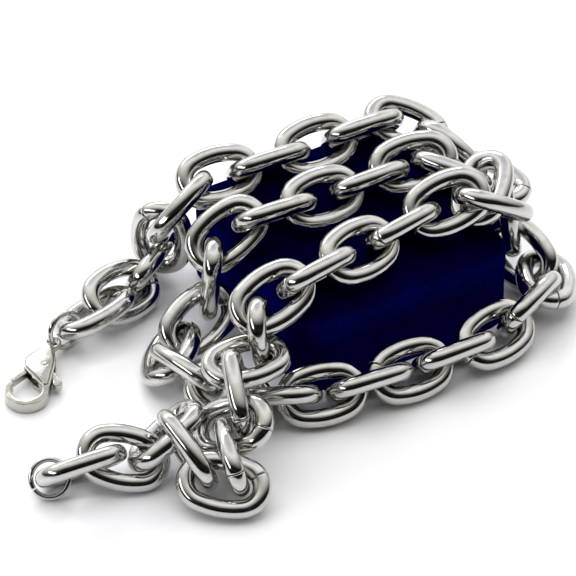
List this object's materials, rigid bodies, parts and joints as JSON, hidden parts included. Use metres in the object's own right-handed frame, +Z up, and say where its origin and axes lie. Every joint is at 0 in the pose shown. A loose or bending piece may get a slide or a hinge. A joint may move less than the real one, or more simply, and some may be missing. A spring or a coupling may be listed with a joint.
{
  "type": "oval link chain necklace on a display pad",
  "caption": "Necklace of oval links bent from round wire, laid in three rows over a soft display pad, with a lobster clasp at one end and a small ring at the other.",
  "frame": {"origin": "centre of the footprint, on the surface that the pad and the loose ends lie on", "axes": "+X along the rows of chain, from the clasp's side to the far side; +Y from the front to the back; +Z up"},
  "size_m": [0.1211, 0.0764, 0.0305],
  "materials": {
    "polished_steel": "polished",
    "velvet": "short dark blue pile"
  },
  "bodies": {
    "necklace": {"pad": "velvet", "clasp_body": "polished_steel", "clasp_pin": "polished_steel", "clasp_ring": "polished_steel", "end_ring": "polished_steel", "link_01": "polished_steel", "link_02": "polished_steel", "link_03": "polished_steel", "link_04": "polished_steel", "link_05": "polished_steel", "link_06": "polished_steel", "link_07": "polished_steel", "link_08": "polished_steel", "link_09": "polished_steel", "link_10": "polished_steel", "link_11": "polished_steel", "link_12": "polished_steel", "link_13": "polished_steel", "link_14": "polished_steel", "link_15": "polished_steel", "link_16": "polished_steel", "link_17": "polished_steel", "link_18": "polished_steel", "link_19": "polished_steel", "link_20": "polished_steel", "link_21": "polished_steel", "link_22": "polished_steel", "link_23": "polished_steel", "link_24": "polished_steel", "link_25": "polished_steel", "link_26": "polished_steel", "link_27": "polished_steel", "link_28": "polished_steel", "link_29": "polished_steel", "link_30": "polished_steel", "link_31": "polished_steel", "link_32": "polished_steel", "link_33": "polished_steel", "link_34": "polished_steel", "link_35": "polished_steel", "link_36": "polished_steel", "link_37": "polished_steel", "link_38": "polished_steel", "link_39": "polished_steel", "link_40": "polished_steel", "link_41": "polished_steel", "link_42": "polished_steel", "link_43": "polished_steel", "link_44": "polished_steel", "link_45": "polished_steel", "link_46": "polished_steel", "link_47": "polished_steel", "link_48": "polished_steel", "link_49": "polished_steel", "link_50": "polished_steel"},
    "lever": {"clasp_lever": "polished_steel"}
  },
  "joints": [
    {"name": "clasp_lever_turn", "type": "hinge", "parent": "necklace", "child": "lever", "pos_m": [-0.04247, 0.01744, 0.00208], "axis": [-0.0422, -0.0392, 0.9983], "range_deg": [0, 25], "stiffness_Nm_per_rad": 0.002, "springref_deg": -17.19}
  ]
}
